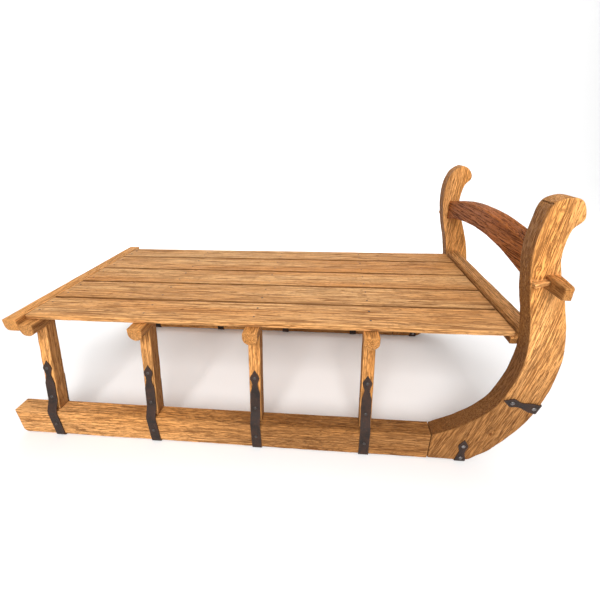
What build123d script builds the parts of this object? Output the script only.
from build123d import *
import os
from math import atan, cos, sin

# A wooden runner sled (a horned sled, or "toboggan") with a raised plank deck.
# Two runner beams carry eight splayed posts, the posts carry four half-round
# bearers, and five planks are nailed along the bearers.  At the front each
# runner is joined to a sawn, upturned horn, and an arched bar ties the horns
# together with through tenons that two tusk wedges lock from outside.
#
# Frame: millimetres, +X forward to the horns, +Y the sled's left, +Z up.
# The origin is on the ground below the middle of the sled.

# ---------------------------------------------------------------- deck
deck_length = 1200.0
plank_widths = (107.0, 115.0, 112.0, 117.0, 95.0)   # right-hand plank first
plank_gap = 2.0
plank_thickness = 15.0
deck_side_clearance = 2.0      # from the outer planks to each horn

# ---------------------------------------------------------------- runners
runner_thickness = 48.0
runner_height = 83.0
runner_overhang = 96.0         # how far the runners reach behind the deck
runner_heel_radius = 14.0

# ---------------------------------------------------------------- posts and bearers
ride_height = 231.5            # from the runner's top to the bearer's underside
bearer_diameter = 39.0         # width, and the curve of the rounded underside
bearer_height = 34.0
bearer_overhang = 28.0         # how far a bearer reaches past the deck's side
bearer_seat_depth = 6.0        # flat seat cut into the round underside
bearer_count = 4
bearer_pitch = 286.4
post_width = 32.0
post_thickness = 37.0
post_top_inset = 13.5          # from the deck's side to the post's outer face
post_tenon_width = 16.0
post_tenon_thickness = 20.0
post_foot_tenon_depth = 45.0
post_head_tenon_cover = 5.0    # wood left above the tenon in the bearer

# ---------------------------------------------------------------- end bars
rear_bar_width = 38.0
rear_bar_height = 34.0
rear_bar_heel_radius = 14.0
front_bar_width = 38.0
front_bar_rise = 9.5           # how far it stands above the deck
front_bar_drop = 17.5          # how far it reaches below the planks
front_bar_gap = 4.0            # from the plank ends to its rear face
front_bar_ledge = 14.0         # ledge under the plank ends, past that face
front_bar_tenon_length = 20.0
front_bar_tenon_width = 20.0
front_bar_tenon_height = 26.0

# ---------------------------------------------------------------- horns
horn_height = 665.0
horn_reach = 84.0              # from the deck's front end to the horn's breast
horn_joint_setback = 156.0     # from the deck's front end back to the runner joint
runner_tenon_length = 100.0
runner_tenon_height = 40.0
runner_tenon_thickness = 16.0

# ---------------------------------------------------------------- arched bar
arch_thickness = 42.0
arch_setback = 20.0            # its rear face, behind the deck's front end
arch_end_bottom = 490.0        # above the runner's sole, at the horns
arch_end_depth = 62.0
arch_middle_depth = 57.0
arch_rise = 34.0
arch_tenon_width = 24.0        # in the horn
arch_tenon_end_width = 17.0    # at the free end
arch_tenon_setback = 8.5       # from the bar's middle back to the tenon's rear face
arch_tenon_height = 26.0
arch_tenon_step = 4.0          # from the bar's end corner up to the tenon
arch_tenon_reach = 63.0        # past the horn's outer face

# ---------------------------------------------------------------- tusk wedges
wedge_height = 9.0
wedge_thin_end = 10.0
wedge_thick_end = 15.0
wedge_length = 50.0
wedge_head_reach = 24.0        # behind the tenon
wedge_lift = 2.5               # above the tenon's middle
wedge_tilt = 15.0              # degrees, thin end up
wedge_side_clearance = 0.15
wedge_slot_relief = 3.0        # the slot starts inside the horn's face

# ---------------------------------------------------------------- iron straps
strap_thickness = 3.0
strap_width = 26.0
strap_neck_width = 14.0
strap_lobe_width = 24.0
strap_cheek_width = 13.0       # where the spear tip's straight edges end
post_strap_height = 227.0      # the spear tip, above the runner's sole
post_strap_bend = 30.0         # where it leaves the post, above the runner
lobe_drop = 21.0               # from the tip down to the lobe's middle
neck_drop = 40.0               # from the tip down to the neck
shoulder_drop = 66.0           # from the tip down to the full width
sole_strap_setback = 74.0      # the horn's lower strap, behind the deck's front
sole_strap_height = 74.0
breast_strap_height = 184.0    # the horn's upper strap, above the runner's sole
breast_strap_forward = 70.0    # and ahead of the deck's front end
breast_strap_length = 86.0
breast_strap_tilt = 74.0       # degrees from upright
horn_strap_foot_nail = 12.0    # from the strap's foot

# ---------------------------------------------------------------- nails
nail_radius = 2.0
nail_hole_clearance = 0.05
nail_head_radius = 5.0
nail_head_height = 2.4
deck_nail_head_radius = 3.6
deck_nail_head_height = 1.2
deck_nail_length = 38.0
deck_nail_inset = 30.0         # from a plank's edge
strap_nail_length = 16.0
bar_nail_length = 52.0
bar_nail_offset = 10.0         # below the deck's underside
bar_nail_spread = 195.0        # the outer nails, from the sled's middle

# ---------------------------------------------------------------- places that follow
deck_width = sum(plank_widths) + plank_gap * (len(plank_widths) - 1)
runner_inner = deck_width / 2 + deck_side_clearance
runner_outer = runner_inner + runner_thickness
deck_rear = -(runner_overhang + deck_length + horn_reach) / 2 + runner_overhang
deck_front = deck_rear + deck_length
runner_rear = deck_rear - runner_overhang
horn_joint = deck_front - horn_joint_setback

sole = strap_thickness
runner_top = sole + runner_height
bearer_bottom = runner_top + ride_height
bearer_top = bearer_bottom + bearer_height
deck_top = bearer_top + plank_thickness
seat_level = bearer_bottom + bearer_seat_depth
bearer_half_length = deck_width / 2 + bearer_overhang
bearer_places = [deck_rear + bearer_diameter / 2 + i * bearer_pitch for i in range(bearer_count)]

post_foot = runner_inner + post_thickness / 2
post_head = deck_width / 2 - post_top_inset - post_thickness / 2
post_slope = (post_foot - post_head) / (seat_level - runner_top)

arch_rear = deck_front - arch_setback
arch_front = arch_rear + arch_thickness
arch_middle = (arch_rear + arch_front) / 2
tenon_bottom = sole + arch_end_bottom + arch_tenon_step
tenon_top = tenon_bottom + arch_tenon_height
tenon_end = runner_outer + arch_tenon_reach

parts = {}


# ---------------------------------------------------------------- helpers
def block(x_range, y_range, z_range):
    """A box between two planes along each axis."""
    size = [abs(r[1] - r[0]) for r in (x_range, y_range, z_range)]
    middle = [(r[0] + r[1]) / 2 for r in (x_range, y_range, z_range)]
    return Pos(*middle) * Box(*size)


def upright_prism(points, y_range):
    """A prism along Y whose outline is given as (x, z) points."""
    outline = Polyline(*[(x, y_range[0], z) for x, z in points], close=True)
    return extrude(make_face(outline), amount=y_range[1] - y_range[0], dir=(0, 1, 0))


def cross_prism(points, x_range):
    """A prism along X whose outline is given as (y, z) points."""
    outline = Polyline(*[(x_range[0], y, z) for y, z in points], close=True)
    return extrude(make_face(outline), amount=x_range[1] - x_range[0], dir=(1, 0, 0))


def side_name(side):
    return "left" if side > 0 else "right"


def post_axis(z):
    """How far out the middle of a post is at a height."""
    return post_head + post_slope * (seat_level - z)


# ---------------------------------------------------------------- nails
def nail(length, head_radius, head_height):
    """A nail along -Z: a low domed head above a pointed shank."""
    dome_radius = (head_radius**2 + head_height**2) / (2 * head_height)
    ball = Pos(0, 0, head_height - dome_radius) * Sphere(dome_radius)
    head = split(ball, bisect_by=Plane.XY, keep=Keep.TOP)
    straight = length - 3 * nail_radius
    shank = Pos(0, 0, -straight / 2) * Cylinder(nail_radius, straight)
    point = Pos(0, 0, -straight - 1.5 * nail_radius) * Cone(0.2 * nail_radius, nail_radius, 3 * nail_radius)
    return head + shank + point


def nail_hole(length):
    """The hole that a nail of this length fills."""
    depth = length + 0.5
    radius = nail_radius + nail_hole_clearance
    return Pos(0, 0, -depth / 2) * Cylinder(radius, depth)


deck_nail = nail(deck_nail_length, deck_nail_head_radius, deck_nail_head_height)
sunk_head = Pos(0, 0, deck_nail_head_height / 2) * Cylinder(deck_nail_head_radius + nail_hole_clearance,
                                                            deck_nail_head_height)
deck_nail_hole = nail_hole(deck_nail_length) + sunk_head
bar_nail = nail(bar_nail_length, nail_head_radius, nail_head_height)
bar_nail_hole = nail_hole(bar_nail_length)
strap_nail = nail(strap_nail_length, nail_head_radius, nail_head_height)
strap_nail_hole = nail_hole(strap_nail_length)


# ---------------------------------------------------------------- deck planks and nails
plank_edges = []
edge = -deck_width / 2
for width in plank_widths:
    plank_edges.append((edge, edge + width))
    edge += width + plank_gap

deck_nail_places = []
for low, high in plank_edges:
    for y in (low + deck_nail_inset, high - deck_nail_inset):
        for x in bearer_places:
            deck_nail_places.append(Pos(x, y, deck_top - deck_nail_head_height))

deck_holes = [place * deck_nail_hole for place in deck_nail_places]
parts["deck_nails"] = [place * deck_nail for place in deck_nail_places]

for index, (low, high) in enumerate(plank_edges):
    plank = block((deck_rear, deck_front), (low, high), (bearer_top, deck_top))
    holes = deck_holes[2 * bearer_count * index:2 * bearer_count * (index + 1)]
    parts[f"deck_plank_{index + 1}"] = plank - holes


# ---------------------------------------------------------------- rear bar
rear_bar = block((deck_rear - rear_bar_width, deck_rear), (-bearer_half_length, bearer_half_length),
                 (deck_top - rear_bar_height, deck_top))
heel_edges = rear_bar.edges().filter_by(Axis.Y).group_by(Axis.Z)[0].sort_by(Axis.X)[0:1]
rear_bar = fillet(heel_edges, rear_bar_heel_radius)

bar_nail_turn = Rot(0, -90, 0)
bar_nail_places = []
for y in (-bar_nail_spread, -bar_nail_spread / 3, bar_nail_spread / 3, bar_nail_spread):
    place = Pos(deck_rear - rear_bar_width, y, bearer_top - bar_nail_offset)
    bar_nail_places.append(place * bar_nail_turn)
bar_holes = [place * bar_nail_hole for place in bar_nail_places]
parts["rear_bar_nails"] = [place * bar_nail for place in bar_nail_places]
parts["rear_bar"] = rear_bar - bar_holes


# ---------------------------------------------------------------- posts
def post(x, side):
    """A splayed post: a shank, and a tenon at each end along the same lean."""
    def leaning(half_width, half_thickness, low, high):
        outline = [(side * (post_axis(low) - half_thickness), low),
                   (side * (post_axis(low) + half_thickness), low),
                   (side * (post_axis(high) + half_thickness), high),
                   (side * (post_axis(high) - half_thickness), high)]
        return cross_prism(outline, (x - half_width, x + half_width))

    shank = leaning(post_width / 2, post_thickness / 2, runner_top, seat_level)
    tenon = leaning(post_tenon_width / 2, post_tenon_thickness / 2,
                    runner_top - post_foot_tenon_depth, bearer_top - post_head_tenon_cover)
    return shank + tenon


posts = {}
for side in (-1, 1):
    for index, x in enumerate(bearer_places):
        posts[side, index] = post(x, side)


# ---------------------------------------------------------------- bearers
bearer_radius = bearer_diameter / 2
for index, x in enumerate(bearer_places):
    log = Rot(90, 0, 0) * Cylinder(bearer_radius, 2 * bearer_half_length)
    log = Pos(x, 0, bearer_bottom + bearer_radius) * log
    flanks = block((x - bearer_radius, x + bearer_radius), (-bearer_half_length, bearer_half_length),
                   (bearer_bottom + bearer_radius, bearer_top))
    sawn_off = block((x - bearer_diameter, x + bearer_diameter), (-deck_width, deck_width),
                     (bearer_top, bearer_top + bearer_diameter))
    bearer = log + flanks - sawn_off - [posts[side, index] for side in (-1, 1)]
    cuts = deck_holes[index::bearer_count]
    if index == 0:
        cuts = cuts + bar_holes
    parts[f"bearer_{index + 1}"] = bearer - cuts


# ---------------------------------------------------------------- horns
# The outline is given as (forward of the deck's front end, above the runner's sole).
rear_edge = [(-horn_joint_setback, runner_height), (-94, 117), (-35, 172), (-8, 234), (5, 320),
             (-6, 398), (-30, 488)]
breast = [(20, 527), (48, 455), (77, 362), (horn_reach, 285), (breast_strap_forward, breast_strap_height),
          (45, 122), (-7, 43), (-50, 5)]
toe_setback = 62               # where the toe's curve meets the flat sole

# The two heads were shaped by eye.  The right-hand one hooks down to a small nose.
head_drops = {
    -1: [(-43, 99), (-40, 45), (-31, 11), (-2, 0), (18, 7), (30, 39), (15, 59), (12, 105)],
    1: [(-41, 99), (-36, 45), (-20, 14), (8, 0), (33, 14), (42, 39), (25, 62), (16, 107)],
}


def horn_outline(side):
    head = [(forward, horn_height - drop) for forward, drop in head_drops[side]]
    curve = rear_edge + head + breast
    places = [Vector(deck_front + forward, 0, sole + above) for forward, above in curve]
    upper = Spline(*places)
    toe_end = Vector(deck_front - toe_setback, 0, sole)
    joint_bottom = Vector(horn_joint, 0, sole)
    toe = Line(places[-1], toe_end)
    foot = Line(toe_end, joint_bottom)
    joint = Line(joint_bottom, places[0])
    return make_face([upper, toe, foot, joint])


def horn(side):
    plate = extrude(horn_outline(side), amount=runner_thickness, dir=(0, side, 0))
    return Pos(0, side * runner_inner, 0) * plate


horns = {side: horn(side) for side in (-1, 1)}


# ---------------------------------------------------------------- arched bar and wedges
arch_top_end = sole + arch_end_bottom + arch_end_depth
arch_bottom_middle = sole + arch_end_bottom + arch_rise
arch_top_middle = arch_bottom_middle + arch_middle_depth
arch_outline = [
    ThreePointArc((arch_rear, -runner_inner, sole + arch_end_bottom), (arch_rear, 0, arch_bottom_middle),
                  (arch_rear, runner_inner, sole + arch_end_bottom)),
    Line((arch_rear, runner_inner, sole + arch_end_bottom), (arch_rear, runner_inner, arch_top_end)),
    ThreePointArc((arch_rear, runner_inner, arch_top_end), (arch_rear, 0, arch_top_middle),
                  (arch_rear, -runner_inner, arch_top_end)),
    Line((arch_rear, -runner_inner, arch_top_end), (arch_rear, -runner_inner, sole + arch_end_bottom)),
]
arch_bar = extrude(make_face(arch_outline), amount=arch_thickness, dir=(1, 0, 0))

tenon_rear = arch_middle - arch_tenon_setback
wedge_rear = -arch_tenon_setback - wedge_head_reach
wedge_front = wedge_rear + wedge_length
wedge_place = Pos(arch_middle, 0, (tenon_bottom + tenon_top) / 2 + wedge_lift) * Rot(0, -wedge_tilt, 0)


def wedge(side):
    """A tusk wedge, flat against the horn, thicker at its rear end and tilted up to the front."""
    near = runner_outer + wedge_side_clearance
    outline = Polyline((wedge_rear, side * near, 0), (wedge_front, side * near, 0),
                       (wedge_front, side * (near + wedge_thin_end), 0),
                       (wedge_rear, side * (near + wedge_thick_end), 0), close=True)
    return wedge_place * extrude(make_face(outline), amount=wedge_height / 2, both=True)


def wedge_slot(side):
    """The slot for a wedge: the same taper, opened by the side clearance."""
    taper = (wedge_thick_end - wedge_thin_end) / wedge_length
    inside = runner_outer - wedge_slot_relief
    far_rear = runner_outer + 2 * wedge_side_clearance + wedge_thick_end + taper * wedge_head_reach
    reach = wedge_length + 2 * wedge_head_reach
    far_front = far_rear - taper * reach
    start = wedge_rear - wedge_head_reach
    outline = Polyline((start, side * inside, 0), (start + reach, side * inside, 0),
                       (start + reach, side * far_front, 0), (start, side * far_rear, 0), close=True)
    height = wedge_height + 2 * wedge_side_clearance
    return wedge_place * extrude(make_face(outline), amount=height / 2, both=True)


for side in (-1, 1):
    tenon_plan = Polyline((tenon_rear, side * (runner_inner - 1), tenon_bottom),
                          (tenon_rear + arch_tenon_width, side * (runner_inner - 1), tenon_bottom),
                          (tenon_rear + arch_tenon_width, side * runner_outer, tenon_bottom),
                          (tenon_rear + arch_tenon_end_width, side * tenon_end, tenon_bottom),
                          (tenon_rear, side * tenon_end, tenon_bottom), close=True)
    tenon = extrude(make_face(tenon_plan), amount=arch_tenon_height, dir=(0, 0, 1))
    horns[side] = horns[side] - tenon
    arch_bar = arch_bar + (tenon - wedge_slot(side))
    parts[f"tusk_wedge_{side_name(side)}"] = wedge(side)
parts["arch_bar"] = arch_bar


# ---------------------------------------------------------------- front bar
front_bar_rear = deck_front + front_bar_gap
front_bar_front = front_bar_rear + front_bar_width
front_bar_bottom = bearer_top - front_bar_drop
front_bar_top = deck_top + front_bar_rise
front_bar = block((front_bar_rear, front_bar_front), (-runner_inner, runner_inner),
                  (front_bar_bottom, front_bar_top))
ledge = block((deck_front - front_bar_ledge + front_bar_gap, front_bar_rear), (-runner_inner, runner_inner),
              (front_bar_bottom, bearer_top))
bar_middle = (front_bar_rear + front_bar_front) / 2
bar_middle_z = (front_bar_bottom + front_bar_top) / 2
bar_half_length = runner_inner + front_bar_tenon_length
bar_tenons = block((bar_middle - front_bar_tenon_width / 2, bar_middle + front_bar_tenon_width / 2),
                   (-bar_half_length, bar_half_length),
                   (bar_middle_z - front_bar_tenon_height / 2, bar_middle_z + front_bar_tenon_height / 2))
parts["front_bar"] = front_bar + ledge + bar_tenons


# ---------------------------------------------------------------- runner beams
runners = {}
for side in (-1, 1):
    across = sorted((side * runner_inner, side * runner_outer))
    beam = block((runner_rear, horn_joint), across, (sole, runner_top))
    heel_edges = beam.edges().filter_by(Axis.Y).group_by(Axis.Z)[0].sort_by(Axis.X)[0:1]
    beam = fillet(heel_edges, runner_heel_radius)
    middle_y = side * (runner_inner + runner_outer) / 2
    middle_z = sole + runner_height / 2
    tongue = block((horn_joint - 1, horn_joint + runner_tenon_length),
                   (middle_y - runner_tenon_thickness / 2, middle_y + runner_tenon_thickness / 2),
                   (middle_z - runner_tenon_height / 2, middle_z + runner_tenon_height / 2))
    horns[side] = horns[side] - tongue - bar_tenons
    runners[side] = beam + tongue - [posts[side, index] for index in range(bearer_count)]


# ---------------------------------------------------------------- iron straps
def leaf(height):
    """The flat shape of a strap's legs, cut right through the sled: a spear tip,
    a round lobe, a narrow neck and a straight body down to the foot."""
    half = strap_width / 2
    cheek = (strap_cheek_width / 2, 0, height - lobe_drop / 2)
    shoulder = (half, 0, height - shoulder_drop)
    foot_corner = (half, 0, -strap_thickness)
    tip = Line((0, 0, height), cheek)
    curve = Spline(cheek, (strap_lobe_width / 2, 0, height - lobe_drop),
                   (strap_neck_width / 2, 0, height - neck_drop), shoulder)
    body = Line(shoulder, foot_corner)
    right = [tip, curve, body]
    left = [mirror(line, about=Plane.YZ) for line in right]
    foot = Line(foot_corner, (-half, 0, -strap_thickness))
    face = make_face([*right, foot, *left])
    return Pos(0, -2 * runner_outer, 0) * extrude(face, amount=4 * runner_outer, dir=(0, 1, 0))


def strap(side, outer_leg, inner_leg, height):
    """A strip bent round the foot of a timber and shaped by its leaf.
    The legs are (y, z) points from each tip down to the foot, z from the foot."""
    inside = [(side * y, z) for y, z in outer_leg + inner_leg[::-1]]
    path = Polyline(*[(0, y, z) for y, z in inside])
    strip = make_face(offset(path, amount=strap_thickness, side=Side.LEFT, closed=True))
    strip = Pos(-strap_width, 0, 0) * extrude(strip, amount=2 * strap_width, dir=(1, 0, 0))
    return strip & leaf(height)


def nail_place(x, y, z, outward):
    """Where a strap nail goes: its head stands on the strap, facing outward in (y, z)."""
    surface = Vector(x, y, z) + Vector(0, *outward).normalized() * strap_thickness
    return Location(Plane(origin=surface, x_dir=(1, 0, 0), z_dir=(0, *outward)))


lean = atan(post_slope)
bend_level = runner_height + post_strap_bend
post_nail_levels = (post_strap_height - lobe_drop, bend_level + 2 * nail_head_radius)
runner_nail_level = runner_height / 2
reach = post_thickness / 2


def post_face(level, face_side):
    """How far out a post's outer (+1) or inner (-1) face is, at a level above the sole."""
    return post_axis(sole + level) + face_side * reach


def post_strap_nails(x, side):
    places = []
    for face_side in (1, -1):
        for level in post_nail_levels:
            outward = (side * face_side * cos(lean), face_side * sin(lean))
            places.append(nail_place(x, side * post_face(level, face_side), sole + level, outward))
        runner_face = runner_outer if face_side > 0 else runner_inner
        places.append(nail_place(x, side * runner_face, sole + runner_nail_level, (side * face_side, 0)))
    return places


def horn_strap_nails(side, height):
    """Two nails in each leg, in the strap's own frame."""
    places = []
    for face, outward in ((runner_outer, side), (runner_inner, -side)):
        for level in (height - lobe_drop, horn_strap_foot_nail):
            places.append(nail_place(0, side * face, level, (outward, 0)))
    return places


for side in (-1, 1):
    name = side_name(side)
    post_nails = []
    for index, x in enumerate(bearer_places):
        outer_leg = [(post_face(post_strap_height, 1), post_strap_height),
                     (post_face(bend_level, 1), bend_level),
                     (runner_outer, runner_height), (runner_outer, 0)]
        inner_leg = [(post_face(post_strap_height, -1), post_strap_height), (runner_inner, runner_height),
                     (runner_inner, 0)]
        places = post_strap_nails(x, side)
        holes = [place * strap_nail_hole for place in places]
        band = Pos(x, 0, sole) * strap(side, outer_leg, inner_leg, post_strap_height)
        parts[f"post_strap_{name}_{index + 1}"] = band - holes
        parts[f"post_{name}_{index + 1}"] = posts[side, index] - holes - deck_holes[index::bearer_count]
        runners[side] = runners[side] - holes
        post_nails += [place * strap_nail for place in places]

    sole_frame = Pos(deck_front - sole_strap_setback, 0, sole)
    breast_frame = Pos(deck_front + breast_strap_forward, 0, sole + breast_strap_height)
    breast_frame = breast_frame * Rot(0, -breast_strap_tilt, 0)
    horn_nails = []
    for kind, frame, height in (("sole", sole_frame, sole_strap_height),
                                ("breast", breast_frame, breast_strap_length)):
        outer_leg = [(runner_outer, height), (runner_outer, 0)]
        inner_leg = [(runner_inner, height), (runner_inner, 0)]
        places = [frame * place for place in horn_strap_nails(side, height)]
        holes = [place * strap_nail_hole for place in places]
        band = frame * strap(side, outer_leg, inner_leg, height)
        parts[f"horn_{kind}_strap_{name}"] = band - holes - horns[side]
        horns[side] = horns[side] - holes
        runners[side] = runners[side] - holes
        horn_nails += [place * strap_nail for place in places]

    parts[f"post_strap_nails_{name}"] = post_nails
    parts[f"horn_strap_nails_{name}"] = horn_nails
    parts[f"runner_{name}"] = runners[side]
    parts[f"horn_{name}"] = horns[side]


# ---------------------------------------------------------------- files
os.makedirs("parts", exist_ok=True)
for name, shape in parts.items():
    if isinstance(shape, list):
        shape = Compound(children=shape)
    export_step(shape, f"parts/{name}.step")

print(len(parts), "nodes,", deck_top, "mm to the deck's top")
